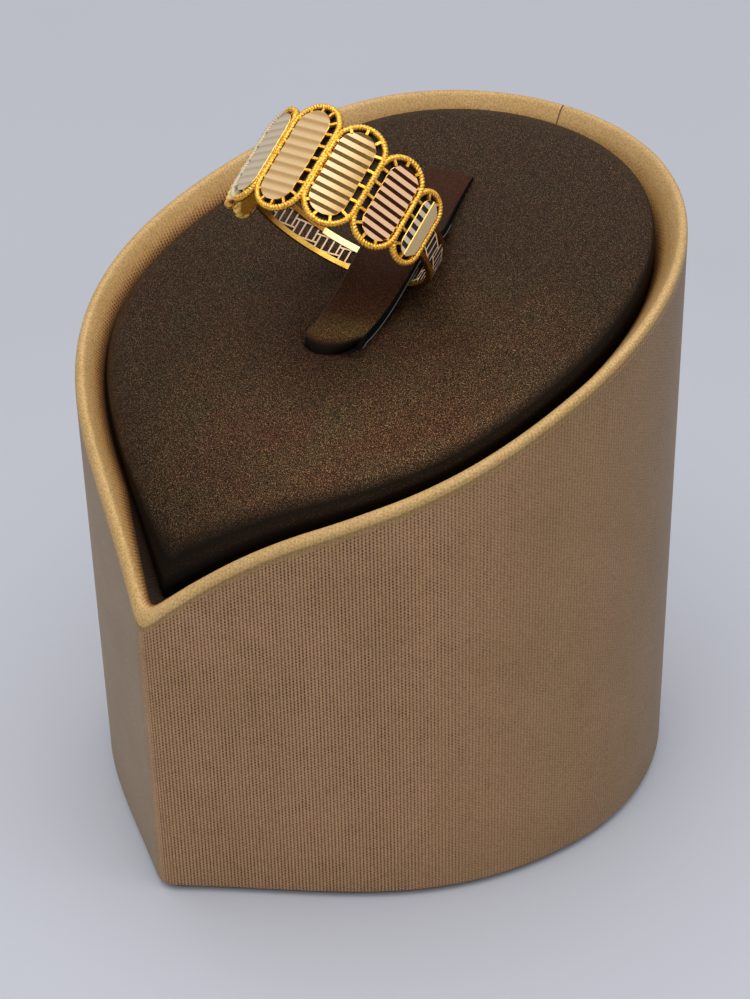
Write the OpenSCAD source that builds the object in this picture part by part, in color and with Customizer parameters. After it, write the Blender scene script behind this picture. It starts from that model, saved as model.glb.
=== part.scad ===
// Gold ring with seven fluted ovals, on the slanted drop-shaped stand that displays it.
// Z is up, the top surface rises towards +Y, and the drop's point looks towards -Y.
// The origin lies on the surface that the stand rests on, under the middle of its outline.

/* [Ring] */
// Radius of the finger hole
hole_r = 8.55; // [8.4:0.05:8.7]
// Thickness of the metal of the shank
shank_t = 0.55; // [0.5:0.05:0.7]
// Half the shank's width at its narrowest, opposite the middle oval
shank_half_min = 1.15; // [1:0.05:1.4]
// Half the shank's width where it meets the last ovals
shank_half_max = 1.45; // [1.4:0.05:1.7]
// Width of the two solid edges of the shank
rail_w = 0.42; // [0.3:0.02:0.5]
// Width of the small bars in the pierced work
bar_w = 0.3; // [0.24:0.02:0.4]
// Width of the raised border around each oval
border_w = 0.45; // [0.4:0.05:0.5]
// Open gap between an oval's border and its plate
border_gap = 0.32; // [0.28:0.02:0.36]
// Height of the raised border above the inside of the ring
border_h = 0.55; // [0.5:0.05:0.7]
// Height of the fluted plate above the inside of the ring
plate_h = 0.9; // [0.8:0.05:1]
// Depth of the flutes cut across each plate
flute_d = 0.2; // [0.1:0.02:0.24]
// Number of bars between an oval's border and its plate
bars_per_oval = 12; // [10:1:12]
// Number of openings in each row of the pierced shank
shank_openings = 18; // [14:1:18]

/* [Ring on its stand] */
// Middle of the ring, to the side, towards the high end, and above the surface
ring_mid_x = -0.2; // [-1:0.1:1]
// Middle of the ring along the slope
ring_mid_y = -2.2; // [-2.4:0.1:-2]
// Height of the middle of the ring
ring_mid_z = 58.8; // [58.8:0.1:59.4]
// Angle by which the finger hole's axis rises towards the high end
ring_lean = 33.5; // [32:0.5:35]
// Turn of the ring's axis about the vertical
ring_turn = 2; // [0:0.5:4]
// Turn of the ring about its own axis, which carries the middle oval past the top
ring_roll = 4.5; // [3:0.5:7]

/* [Stand] */
// Radius of the round part of the drop outline
round_r = 23.5; // [22:0.5:25]
// Height of the rim above the middle of the round part
rim_mid_h = 52; // [50:0.5:54]
// Rise of the rim for each millimetre towards the high end
rim_slope = 0.36; // [0.33:0.01:0.38]
// Fall of the rim away from that line, for each square millimetre
rim_bow = 0.0055; // [0.004:0.0005:0.007]
// Extra fall of the rim at the point of the drop
point_droop = 3.7; // [3:0.1:4.2]
// Distance from the point over which the rim falls
point_reach = 15.2; // [12:0.2:18]
// Width of the rim band
rim_w = 3.3; // [3:0.1:3.6]
// Height of the rim band's crest above its outer edge
rim_crest = 0.5; // [0.3:0.05:0.7]
// Depth of the pocket that holds the cushion
pocket_depth = 4; // [3.5:0.25:5]
// Distance from the rim's outer edge down to the cushion's top
cushion_sink = 0.3; // [0.3:0.1:1]
// Fall of the cushion from its top to its edge
cushion_fall = 1.5; // [1:0.1:1.8]
// Thickness of the pad under the base
base_pad_t = 0.4; // [0.3:0.05:0.6]

/* [Tongue] */
// Width of the strap that holds the ring down
tongue_w = 5.3; // [5:0.1:5.6]
// Thickness of the strap
tongue_t = 0.6; // [0.5:0.1:0.8]
// Distance along the slope from the middle of the outline to the strap's low end
tongue_from = -4.8; // [-6:0.1:-4]
// The same to its high end
tongue_to = 15.9; // [14:0.1:16.5]
// Turn of the strap's ends about the vertical
tongue_turn = 7; // [5:0.5:9]

/* [Hidden] */

gold = "gold";
cover_tan = "#8a7355";
rim_tan = "#b3945f";
satin_brown = "#3a2a20";
pad_black = "#141212";

// Small clearance between pieces that are glued or pushed together
fit_gap = 0.1;
// Overlap that joins pieces of one solid
merge = 0.05;

// Ovals on one side of the ring, from the middle one out
ANGLE = 0;
HALF_L = 1;
HALF_W = 2;
FLUTES = 3;
//          angle  half length  half width  flutes
ovals = [
    [    0,      5.10,       2.45,     10],
    [ 28.7,      4.55,       2.38,     10],
    [ 55.2,      4.25,       2.22,      9],
    [ 77.6,      3.45,       1.75,      6],
];

// Outline of the drop: a round back, and two flanks that meet at the point
round_from = -16;
round_to = 152;
round_steps = 34;
flank_steps = 13;
point_x = -4.3;
point_y = -33.6;
right_reach = [16, 15];
left_reach = [33, 20];
right_dir = 36;
left_dir = 146.5;

function on_circle(r, a) = [r * cos(a), r * sin(a)];
function toward(a) = [cos(a), sin(a)];
function curve(a, b, c, d, t) =
    pow(1 - t, 3) * a + 3 * pow(1 - t, 2) * t * b + 3 * (1 - t) * t * t * c + t * t * t * d;

point_at = [point_x, point_y];
left_top = on_circle(round_r, round_to);
right_top = on_circle(round_r, round_from);
// The last step before the point is a long straight one, so that the outline can be set in
last_t = 0.9;
round_pts = [for (i = [0:round_steps]) on_circle(round_r, round_from + (round_to - round_from) * i / round_steps)];
left_pts = [for (i = [1:flank_steps]) curve(
    left_top,
    left_top + left_reach[0] * toward(round_to + 90),
    point_at + left_reach[1] * toward(left_dir),
    point_at, last_t * i / flank_steps)];
right_pts = [for (i = [flank_steps:-1:1]) curve(
    right_top,
    right_top + right_reach[0] * toward(round_from - 90),
    point_at + right_reach[1] * toward(right_dir),
    point_at, last_t * i / flank_steps)];
raw_outline = concat(round_pts, left_pts, [point_at], right_pts);
raw_x = [for (p = raw_outline) p[0]];
raw_y = [for (p = raw_outline) p[1]];
mid = [(min(raw_x) + max(raw_x)) / 2, (min(raw_y) + max(raw_y)) / 2];
outline = [for (p = raw_outline) p - mid];
count = len(outline);

// Outline set in by a distance, with the corner kept
function unit2(v) = v / norm(v);
function left_of(v) = [-v[1], v[0]];
function inward(i) =
    let (a = left_of(unit2(outline[i] - outline[(i + count - 1) % count])),
         b = left_of(unit2(outline[(i + 1) % count] - outline[i])),
         m = unit2(a + b))
    m / (m * a);
function set_in(d) = [for (i = [0:count - 1]) outline[i] + d * inward(i)];

// Height of the rim's outer edge over a point of the plan
function droop(p) =
    let (k = max(0, 1 - norm(p - (point_at - mid)) / point_reach))
    point_droop * k * k;
function rim_z(p) =
    let (y = p[1] + mid[1])
    rim_mid_h + rim_slope * y - rim_bow * y * y - droop(p);

function flat_ring(pts, z) = [for (p = pts) [p[0], p[1], z]];
function slanted_ring(pts, dz) = [for (p = pts) [p[0], p[1], rim_z(p) + dz]];
function shrunk(pts, s) = [for (p = pts) p * s];

// Closed solid through rings of points, closed at both ends by a fan
module skin(rings, low_mid, high_mid) {
    n = len(rings[0]);
    last = len(rings) - 1;
    pts = concat([for (r = rings) for (p = r) p], [low_mid, high_mid]);
    sides = [for (k = [0:last - 1]) for (i = [0:n - 1])
        let (a = k * n + i, b = k * n + (i + 1) % n, c = b + n, d = a + n)
        each [[a, d, b], [d, c, b]]];
    low_fan = [for (i = [0:n - 1]) [(last + 1) * n, i, (i + 1) % n]];
    high_fan = [for (i = [0:n - 1]) [(last + 1) * n + 1, last * n + (i + 1) % n, last * n + i]];
    polyhedron(pts, concat(sides, low_fan, high_fan), convexity = 6);
}

// Closed band through contours that run all the way round
module band(contours) {
    n = len(contours[0]);
    m = len(contours);
    pts = [for (c = contours) for (p = c) p];
    polyhedron(pts, [for (k = [0:m - 1]) for (i = [0:n - 1])
        let (k2 = (k + 1) % m, i2 = (i + 1) % n)
        each [[k * n + i, k2 * n + i, k2 * n + i2], [k * n + i, k2 * n + i2, k * n + i2]]], convexity = 8);
}

// Bar of four-sided sections, from first to last, with flat ends
module four_sided(sections) {
    last = len(sections) - 1;
    pts = [for (s = sections) for (p = s) p];
    sides = [for (k = [0:last - 1]) for (i = [0:3])
        let (a = 4 * k + i, b = 4 * k + (i + 1) % 4)
        each [[a, a + 4, b + 4], [a, b + 4, b]]];
    ends = [[0, 1, 2], [0, 2, 3], [4 * last + 2, 4 * last + 1, 4 * last], [4 * last + 3, 4 * last + 2, 4 * last]];
    polyhedron(pts, concat(sides, ends), convexity = 6);
}

module stand_body() {
    seat_in = rim_w;
    seat_z = -1;
    foot_in = 0.5;
    foot_h = 0.6;
    color(cover_tan) skin([
        flat_ring(set_in(foot_in), base_pad_t + fit_gap),
        flat_ring(outline, base_pad_t + fit_gap + foot_h),
        slanted_ring(outline, seat_z),
        slanted_ring(set_in(seat_in), seat_z),
        slanted_ring(set_in(seat_in), -pocket_depth),
        slanted_ring(shrunk(set_in(seat_in), 0.5), -pocket_depth)],
        [0, 0, base_pad_t + fit_gap],
        [0, 0, rim_z([0, 0]) - pocket_depth]);
}

module rim_band() {
    // set-in and height of each contour, from the outer foot over the crest to the inner foot
    SET_IN = 0;
    RISE = 1;
    contours = [
        [0.00, -1 + fit_gap],
        [0.00, -0.15],
        [0.15,  0.10],
        [0.60,  0.40],
        [1.20, rim_crest],
        [1.90,  0.35],
        [2.60, -0.10],
        [3.10, -0.75],
        [rim_w, -1 + fit_gap],
    ];
    color(rim_tan) band([for (c = contours) slanted_ring(set_in(c[SET_IN]), c[RISE])]);
}

module cushion() {
    edge = set_in(rim_w + fit_gap);
    // size of each ring against the edge, and its share of the fall from the crown
    SIZE = 0;
    FALL = 1;
    rings = [
        [1.000, 1.00],
        [0.985, 0.62],
        [0.955, 0.30],
        [0.900, 0.10],
        [0.780, 0.00],
        [0.400, 0.00],
    ];
    color(satin_brown) skin(concat(
        [slanted_ring(shrunk(edge, 0.5), -pocket_depth + 2 * fit_gap)],
        [slanted_ring(edge, -pocket_depth + 2 * fit_gap)],
        [for (r = rings) slanted_ring(shrunk(edge, r[SIZE]), -cushion_sink - cushion_fall * r[FALL])]),
        [0, 0, rim_z([0, 0]) - pocket_depth + 2 * fit_gap],
        [0, 0, rim_z([0, 0]) - cushion_sink]);
}

// Strap: its ends lie on the cushion, and it bows up over the shank, where it spreads and leans
hump_y = 3.3;
hump_half = 7;
hump_h = 1.35;
hump_curl = 0.078;
left_spread = 0.3;
right_spread = 0.95;
function tongue_x(y) = 0.72 + 0.031 * y - 0.0179 * y * y;
function hump(y) =
    let (k = min(1, abs(y - hump_y) / hump_half))
    pow(cos(90 * k), 2);
function tongue_low(p, y) =
    let (x = p[0] - ring_mid_x)
    rim_z(p) - cushion_sink + 1.5 * fit_gap + (hump_h + hump_curl * x * x) * hump(y);
module ring_tongue() {
    steps = 22;
    across = 4;
    side = toward(tongue_turn);
    rings = [for (i = [0:steps])
        let (y = tongue_from + (tongue_to - tongue_from) * i / steps,
             mid_at = [tongue_x(y), y],
             l = -tongue_w / 2 - left_spread * hump(y),
             r = tongue_w / 2 + right_spread * hump(y),
             pts = [for (k = [0:across]) mid_at + side * (l + (r - l) * k / across)])
        concat(
            [for (k = [0:across]) [pts[k][0], pts[k][1], tongue_low(pts[k], y) + tongue_t]],
            [for (k = [across:-1:0]) [pts[k][0], pts[k][1], tongue_low(pts[k], y)]])];
    color(satin_brown) skin(rings, middle(rings[0]), middle(rings[steps]));
}
function middle(pts, i = 0, sum = [0, 0, 0]) =
    i == len(pts) ? sum / len(pts) : middle(pts, i + 1, sum + pts[i]);

module base_pad() {
    pad_in = 0.7;
    color(pad_black) linear_extrude(base_pad_t) polygon(set_in(pad_in));
}

module stadium(half_l, half_w) {
    end = half_l - half_w;
    hull() {
        translate([0, end]) circle(half_w, $fn = 28);
        translate([0, -end]) circle(half_w, $fn = 28);
    }
}

// Spokes from the plate to the border, spaced evenly along the oval
module spokes(half_l, half_w) {
    straight = half_l - half_w;
    reach = half_w - border_w / 2;
    per_side = (bars_per_oval - 4) / 2;
    for (side = [-1, 1]) {
        for (i = [0:per_side - 1])
            translate([side * reach / 2, straight * (2 * i / (per_side - 1) - 1)])
                square([reach, bar_w], center = true);
        for (a = [60, 120])
            translate([0, side * straight])
                rotate(side * a) translate([reach / 2, 0])
                    square([reach, bar_w], center = true);
    }
}

// One oval, lying flat, its inside face at z = 0
module oval(half_l, half_w, flutes) {
    plate_l = half_l - border_w - border_gap;
    plate_w = half_w - border_w - border_gap;
    pitch = 2 * plate_l / flutes;
    low = plate_h - flute_d;
    back = 0.06;
    bar_top = border_h - 0.1;
    step = 0.03;
    zigzag = [for (i = [0:flutes]) each [[-plate_l + i * pitch, low + step], [-plate_l + (i + 0.5) * pitch, plate_h]]];
    linear_extrude(border_h) difference() {
        stadium(half_l, half_w);
        stadium(half_l - border_w, half_w - border_w);
    }
    translate([0, 0, back]) linear_extrude(bar_top - back) spokes(half_l, half_w);
    translate([0, 0, 2 * back]) linear_extrude(low - 2 * back) stadium(plate_l, plate_w);
    intersection() {
        linear_extrude(plate_h + step) stadium(plate_l - step, plate_w - step);
        rotate([90, 0, 90]) linear_extrude(2 * half_w, center = true)
            polygon(concat([[-plate_l, low / 2]], zigzag, [[plate_l, low / 2]]));
    }
}

module at_angle(a) {
    rotate([0, a - 90, 0]) translate([hole_r, 0, 0]) rotate([0, 90, 0]) children();
}

// Shank, measured by the angle from the middle oval
shank_from = 87;
shank_to = 273;
function shank_half(a) =
    shank_half_min + (shank_half_max - shank_half_min) * pow(abs(a - 180) / (shank_to - 180), 1.6);
function shank_point(a, r, y) = [r * sin(a), y, r * cos(a)];
// An edge or middle line of the shank: where its middle lies, from -1 to 1 of the half width
module rail(place, width) {
    steps = 32;
    four_sided([for (i = [0:steps])
        let (a = shank_from + (shank_to - shank_from) * i / steps,
             y = place * (shank_half(a) - rail_w / 2),
             out = hole_r + shank_t)
        [shank_point(a, hole_r, y + width / 2), shank_point(a, out, y + width / 2),
         shank_point(a, out, y - width / 2), shank_point(a, hole_r, y - width / 2)]]);
}

module shank_bar(a, side) {
    len_y = shank_half(a) - rail_w / 2;
    rotate([0, a - 90, 0])
        translate([hole_r + 0.1, side > 0 ? 0 : -len_y, -bar_w / 2])
            cube([shank_t - 0.2, len_y, bar_w]);
}

module shank() {
    // the rows are staggered, so that their bars make a key pattern
    margin = 9;
    step = (shank_to - shank_from - 2 * margin) / (shank_openings - 2);
    rail(-1, rail_w);
    rail(1, rail_w);
    rail(0, bar_w);
    for (i = [0:shank_openings - 2], side = [-1, 1])
        shank_bar(shank_from + margin + (i + side / 4) * step, side);
}

module gold_ring() {
    color(gold)
        translate([ring_mid_x, ring_mid_y, ring_mid_z])
            rotate([0, 0, ring_turn]) rotate([ring_lean, 0, 0]) rotate([0, -ring_roll, 0])
                union() {
                    for (o = ovals, side = o[ANGLE] > 0 ? [-1, 1] : [1])
                        at_angle(side * o[ANGLE]) oval(o[HALF_L], o[HALF_W], o[FLUTES]);
                    shank();
                }
}

gold_ring();
stand_body();
rim_band();
cushion();
ring_tongue();
base_pad();
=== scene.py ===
import math
import random

import bpy
from mathutils import Matrix, Vector


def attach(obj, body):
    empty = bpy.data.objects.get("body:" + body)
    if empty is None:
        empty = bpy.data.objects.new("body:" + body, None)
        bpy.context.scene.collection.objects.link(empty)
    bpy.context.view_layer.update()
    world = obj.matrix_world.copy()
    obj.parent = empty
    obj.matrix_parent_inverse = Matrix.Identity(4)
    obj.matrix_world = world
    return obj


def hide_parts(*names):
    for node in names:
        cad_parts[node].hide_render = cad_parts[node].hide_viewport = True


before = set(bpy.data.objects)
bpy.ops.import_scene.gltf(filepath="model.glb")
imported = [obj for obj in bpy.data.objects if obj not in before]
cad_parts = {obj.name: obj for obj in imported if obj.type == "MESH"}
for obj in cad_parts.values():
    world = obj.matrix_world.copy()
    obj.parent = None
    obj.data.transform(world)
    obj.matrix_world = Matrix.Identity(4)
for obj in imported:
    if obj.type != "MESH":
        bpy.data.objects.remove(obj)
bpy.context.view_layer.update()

# All sizes below are in millimetres and degrees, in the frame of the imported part
MM = 0.001
SEED = 11

# Stand
ROUND_R = 23.5
ROUND_FROM = -16
ROUND_TO = 152
ROUND_STEPS = 150
FLANK_STEPS = 46
TIP_STEPS = 16
POINT = Vector((-4.3, -33.6))
RIGHT_DIR = 36
LEFT_DIR = 146.5
RIGHT_REACH = (16, 15)
LEFT_REACH = (33, 20)
LAST_T = 0.9
RIM_MID_H = 52
RIM_SLOPE = 0.36
RIM_BOW = 0.0055
POINT_DROOP = 3.7
POINT_REACH = 15.2
POCKET_DEPTH = 4
FOOT_Z = 0.5
SEAM_AT = 90.6
BACK_FROM = 2
BACK_SPAN = 22
BACK_LIFT = 0.35
FLANK_LIFT = 0.55
FLANK_FROM = 4
FLANK_SPAN = 12
LEFT_SPAN = 14

# Cushion and strap
CUSHION_IN = 2.8
CUSHION_SINK = 0.3
CUSHION_FALL = 1.5
BACK_RISE = 0.75
STRAP_FROM = -4.8
STRAP_TO = 15.1
STRAP_W = 5.3
STRAP_T = 1.05
STRAP_TURN = 7
STRAP_PATH = (0.72, 0.031, -0.0179)
STRAP_SWAY = 0.8
NARROW_FROM = 9
HUMP_AT = 3.3
HUMP_REACH = 7

# Ring
HOLE_R = 8.55
SHANK_T = 0.55
SHANK_HALF_MIN = 1.15
SHANK_HALF_MAX = 1.45
SHANK_FROM = 87
SHANK_TO = 273
RING_MID = Vector((-0.2, -2.2, 58.8))
RING_LEAN = 33.5
RING_TURN = 2
RING_ROLL = 4.5
BORDER_W = 0.46
BORDER_H = 0.55
BORDER_GAP = 0.34
PLATE_H = 0.64
BEAD_PITCH = 0.27
BRIGHT_SHARE = 0.62
COARSE_BELOW = -50

# Ovals on one side of the ring: angle from the middle one, half length, half width, flutes and their depth,
# gaps round the plate and their width towards the middle oval and away from it, and the make of the plate
OVAL_COLUMNS = ("angle", "half_l", "half_w", "flutes", "depth", "gaps", "near", "far", "look")
OVALS = [dict(zip(OVAL_COLUMNS, row)) for row in (
    (0.0, 5.22, 2.45, 10, 0.05, 20, 0.14, 0.62, "soft"),
    (28.7, 4.72, 2.38, 10, 0.15, 15, 0.05, 0.5, "lit_cream"),
    (55.2, 4.25, 2.22, 9, 0.15, 15, 0.5, 0.1, "lit_rose"),
    (77.6, 3.45, 1.75, 6, 0.3, 11, 0.45, 0.08, "half"),
)]


# Shapes

class Shape:
    """Points and faces of one piece, with a look for each face and a UV pair for each corner."""

    def __init__(self):
        self.points, self.faces, self.looks, self.uvs = [], [], [], []

    def add(self, points, faces, look=0, uvs=None):
        first = len(self.points)
        self.points += [tuple(p) for p in points]
        for k, face in enumerate(faces):
            self.faces.append([first + i for i in face])
            self.looks.append(look[k] if isinstance(look, list) else look)
            self.uvs.append(uvs[k] if uvs else [(0, 0)] * len(face))

    def build(self, name, materials, slot, smooth_below=40):
        mesh = bpy.data.meshes.new(name)
        mesh.from_pydata([[MM * c for c in p] for p in self.points], [], self.faces)
        layer = mesh.uv_layers.new(name="UVMap")
        for polygon, uv, look in zip(mesh.polygons, self.uvs, self.looks):
            polygon.material_index = look
            for loop, pair in zip(polygon.loop_indices, uv):
                layer.data[loop].uv = pair
        for material in materials:
            mesh.materials.append(material)
        mesh.polygons.foreach_set("use_smooth", [True] * len(mesh.polygons))
        mesh.set_sharp_from_angle(angle=math.radians(smooth_below))
        mesh.update()
        piece = bpy.data.objects.new(name, mesh)
        bpy.context.scene.collection.objects.link(piece)
        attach(piece, "root")
        return piece


def wall_faces(rings, count):
    """Quads between neighbouring rings of count points each."""
    faces = []
    for low in range(0, (rings - 1) * count, count):
        for i in range(count):
            after = (i + 1) % count
            faces.append([low + i, low + after, low + count + after, low + count + i])
    return faces


def joined(rings):
    return [p for ring in rings for p in ring]


def fan(first, count, centre, flipped=False):
    faces = [[centre, first + i, first + (i + 1) % count] for i in range(count)]
    return [face[::-1] for face in faces] if flipped else faces


def clamped(value):
    return min(1, max(0, value))


def toward(angle):
    return Vector((math.cos(math.radians(angle)), math.sin(math.radians(angle))))


def bezier(a, b, c, d, t):
    return (1 - t) ** 3 * a + 3 * (1 - t) ** 2 * t * b + 3 * (1 - t) * t * t * c + t ** 3 * d


def spline(points, steps):
    """Smooth curve through the points (Catmull-Rom)."""
    found = []
    last = len(points) - 1
    for i in range(last):
        before, start, end, after = (Vector(points[min(max(k, 0), last)]) for k in range(i - 1, i + 3))
        square = 2 * before - 5 * start + 4 * end - after
        cube = 3 * start - before - 3 * end + after
        for s in range(steps):
            t = s / steps
            found.append(0.5 * (2 * start + (end - before) * t + square * t * t + cube * t ** 3))
    return found + [Vector(points[-1])]


# Outline of the stand, seen from above

def flank(top_angle, leaves, reach, arrives):
    """Curve from the end of the round part towards the point of the drop."""
    top = ROUND_R * toward(top_angle)
    return [bezier(top, top + reach[0] * toward(leaves), POINT + reach[1] * toward(arrives), POINT,
                   LAST_T * i / FLANK_STEPS) for i in range(1, FLANK_STEPS + 1)]


def key_outline():
    """Point of the drop first, then the right flank, the round part and the left flank."""
    right = flank(ROUND_FROM, ROUND_FROM - 90, RIGHT_REACH, RIGHT_DIR)[::-1]
    left = flank(ROUND_TO, ROUND_TO + 90, LEFT_REACH, LEFT_DIR)
    angles = [ROUND_FROM + (ROUND_TO - ROUND_FROM) * i / ROUND_STEPS for i in range(ROUND_STEPS + 1)]
    angles += [SEAM_AT + a for a in (-0.3, -0.1, 0.1, 0.3)]
    return [POINT.copy()] + right + [ROUND_R * toward(a) for a in sorted(angles)] + left


def inward(points):
    """For each point, how it moves when the outline is set in by one millimetre."""
    moves = []
    for i, point in enumerate(points):
        a = (point - points[i - 1]).normalized()
        b = (points[(i + 1) % len(points)] - point).normalized()
        a, b = Vector((-a.y, a.x)), Vector((-b.y, b.x))
        m = (a + b).normalized()
        moves.append(m / m.dot(a))
    return moves


KEYS = key_outline()
MID = Vector(((min(p.x for p in KEYS) + max(p.x for p in KEYS)) / 2,
              (min(p.y for p in KEYS) + max(p.y for p in KEYS)) / 2))
TIP = POINT - MID


def with_tip_steps(values):
    """The values round the outline, with even steps between the point and its two neighbours."""
    after = [values[0].lerp(values[1], k / TIP_STEPS) for k in range(TIP_STEPS)]
    before = [values[-1].lerp(values[0], k / TIP_STEPS) for k in range(1, TIP_STEPS)]
    return after + values[1:] + before


OUTER = with_tip_steps([p - MID for p in KEYS])
INWARD = with_tip_steps(inward(KEYS))
COUNT = len(OUTER)


def arc_lengths():
    lengths = [0.0]
    for i in range(COUNT):
        lengths.append(lengths[-1] + (OUTER[(i + 1) % COUNT] - OUTER[i]).length)
    return lengths


ALONG = arc_lengths()


def contour(set_in):
    """Outline set in by a distance, with its corner at the point rounded."""
    points = [p + set_in * m for p, m in zip(OUTER, INWARD)]
    least, widest, loss = 0.35, 1.5, 0.5
    reach = max(least, widest - loss * set_in)
    tip = points[0]
    right = tip + reach * (points[1] - tip).normalized()
    left = tip + reach * (points[-1] - tip).normalized()
    for i in list(range(TIP_STEPS)) + list(range(COUNT - TIP_STEPS + 1, COUNT)):
        off = (points[i] - tip).length
        if off < reach:
            s = 0.5 + (0.5 if i < TIP_STEPS else -0.5) * off / reach
            points[i] = (1 - s) ** 2 * left + 2 * s * (1 - s) * tip + s * s * right
    return points


def at_back(y):
    """0 over the front and middle of the stand, rising to 1 at its back."""
    t = clamped((y - BACK_FROM) / BACK_SPAN)
    return t * t * (3 - 2 * t)


def rim_z(p):
    """Height of the rim; the cover stands a little higher along the right flank."""
    y = p[1] + MID.y
    near = max(0, 1 - math.hypot(p[0] - TIP.x, p[1] - TIP.y) / POINT_REACH)
    right = clamped((p[0] - TIP.x - FLANK_FROM) / FLANK_SPAN) * (1 - at_back(p[1]))
    return RIM_MID_H + RIM_SLOPE * y - RIM_BOW * y * y - POINT_DROOP * near * near + FLANK_LIFT * right


# Stand

def quad_uvs(rings, pair):
    """UV pairs of the quads between rings, where pair gives them by ring and by place on the outline."""
    return [[pair(k, i), pair(k, i + 1), pair(k + 1, i + 1), pair(k + 1, i)]
            for k in range(rings - 1) for i in range(COUNT)]


def cover_uvs(heights):
    """Distance round the outline and height."""
    return quad_uvs(len(heights), lambda k, i: (ALONG[i], heights[k][i % COUNT]))


def capped_faces(rings):
    """Walls between rings of the outline, and fans that close the first and the last ring."""
    low, high = rings * COUNT, rings * COUNT + 1
    return (wall_faces(rings, COUNT) + fan(0, COUNT, low, flipped=True)
            + fan((rings - 1) * COUNT, COUNT, high))


def stand_wall(cover, lining):
    # set-in and height above the foot's edge, from the underside up
    foot = ((0.55, 0.0), (0.34, 0.03), (0.16, 0.13), (0.05, 0.3), (0.0, 0.55))
    below_rim, ledge, ledge_end = 1.08, 0.1, 1.2
    low = FOOT_Z + foot[-1][1]
    rings = [[(p.x, p.y, FOOT_Z + up) for p in contour(set_in)] for set_in, up in foot]
    outer = contour(0)
    for share in (0.1, 0.3, 0.5, 0.7, 0.9, 1.0):
        rings.append([(p.x, p.y, low + share * (rim_z(p) - below_rim - low)) for p in outer])
    for set_in, down in ((ledge, below_rim), (ledge_end, below_rim), (ledge_end, POCKET_DEPTH)):
        rings.append([(p.x, p.y, rim_z(p) - down) for p in contour(set_in)])
    shape = Shape()
    n = len(rings)
    heights = [[p[2] for p in ring] for ring in rings]
    # the pocket's wall and floor take the dark second material: painted shade in the gap beside the cushion
    looks = [0] * ((n - 2) * COUNT) + [1] * COUNT + [0] * COUNT + [1] * COUNT
    shape.add(joined(rings) + [(0, 0, FOOT_Z), (0, 0, rim_z((0, 0)) - POCKET_DEPTH)], capped_faces(n),
              look=looks, uvs=cover_uvs(heights) + [[(0, 0)] * 3] * (2 * COUNT))
    piece = shape.build("stand_wall", [cover, lining], "cover")
    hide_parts("stand_body")


# Section of the rim: set-in from the outline and height above the rim's edge
RIM_PROFILE = (
    (0.00, -1.05), (0.00, -0.55), (0.04, -0.21), (0.17, 0.01), (0.44, 0.13), (0.76, 0.06), (1.05, -0.24),
    (1.38, -0.68), (1.75, -1.18), (2.12, -1.68), (2.50, -2.20), (2.85, -2.70))


def rim_trim(material, seam_material):
    profile = spline(RIM_PROFILE, 3)
    travelled = [0.0]
    for a, b in zip(profile, profile[1:]):
        travelled.append(travelled[-1] + (b - a).length)
    edge_low, growth, fade_from, fade_span = 1.05, 0.6, 0.6, 1.6
    rings = []
    for set_in, rise in profile + [Vector((2.6, -2.9)), Vector((0.6, -1.05))]:
        raised = clamped(min((rise + edge_low) / growth, 1 - (set_in - fade_from) / fade_span))
        ring = []
        for p, along in zip(contour(set_in), ALONG):
            lift = BACK_LIFT * at_back(p.y) * raised
            ring.append((p.x, p.y, rim_z(p) + rise + lift - seam_dent(along)))
        rings.append(ring)
    # the last two rings are the hidden underside of the band
    travelled += [travelled[-1] + 0.2, travelled[-1] + 0.9]
    # the painted shade of the inner side comes sooner near the point and along the left flank
    inner_from, at_tip, tip_reach, at_left = 1.3, 1.3, 12, 0.16
    sooner = [max(at_tip * max(0, 1 - (p - TIP).length / tip_reach),
                  at_left * clamped(-p.x / LEFT_SPAN) * (1 - at_back(p.y))) for p in OUTER]
    heights = [[v + max(0, v - inner_from) * share for share in sooner] for v in travelled]
    n = len(rings)
    seam_half = 0.06
    seam = [int(abs((ALONG[i] + ALONG[i + 1]) / 2 - ALONG[SEAM_PLACE]) < seam_half) for i in range(COUNT)]
    top = (n - 1) * COUNT
    closing = [[top + i, top + (i + 1) % COUNT, (i + 1) % COUNT, i] for i in range(COUNT)]
    shape = Shape()
    shape.add(joined(rings), wall_faces(n, COUNT) + closing,
              look=seam * (n - 1) + [0] * COUNT, uvs=cover_uvs(heights) + [[(0, 0)] * 4] * COUNT)
    piece = shape.build("rim_trim", [material, seam_material], "rim")
    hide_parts("rim_band")


def off_seam(i):
    """Angle between a point of the outline and the seam."""
    return abs(math.degrees(math.atan2(OUTER[i].y + MID.y, OUTER[i].x + MID.x)) - SEAM_AT)


SEAM_PLACE = min(range(COUNT), key=off_seam)


def seam_dent(along):
    """Depth of the groove where the ends of the cover meet."""
    depth, half_width = 0.13, 0.07
    return depth * math.exp(-((along - ALONG[SEAM_PLACE]) / half_width) ** 2)


def narrowing(y):
    """0 over most of the strap, rising to 1 at its high end."""
    return max(0, (y - NARROW_FROM) / (STRAP_TO - NARROW_FROM))


def strap_x(y):
    """Place of the strap's middle line across the stand."""
    start, slant, bend = STRAP_PATH
    return start + slant * y + bend * y * y + STRAP_SWAY * narrowing(y) ** 2


def hump(y):
    """1 where the strap bows over the shank, falling to 0 on both sides."""
    return math.cos(math.radians(90 * min(1, abs(y - HUMP_AT) / HUMP_REACH))) ** 2


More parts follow.
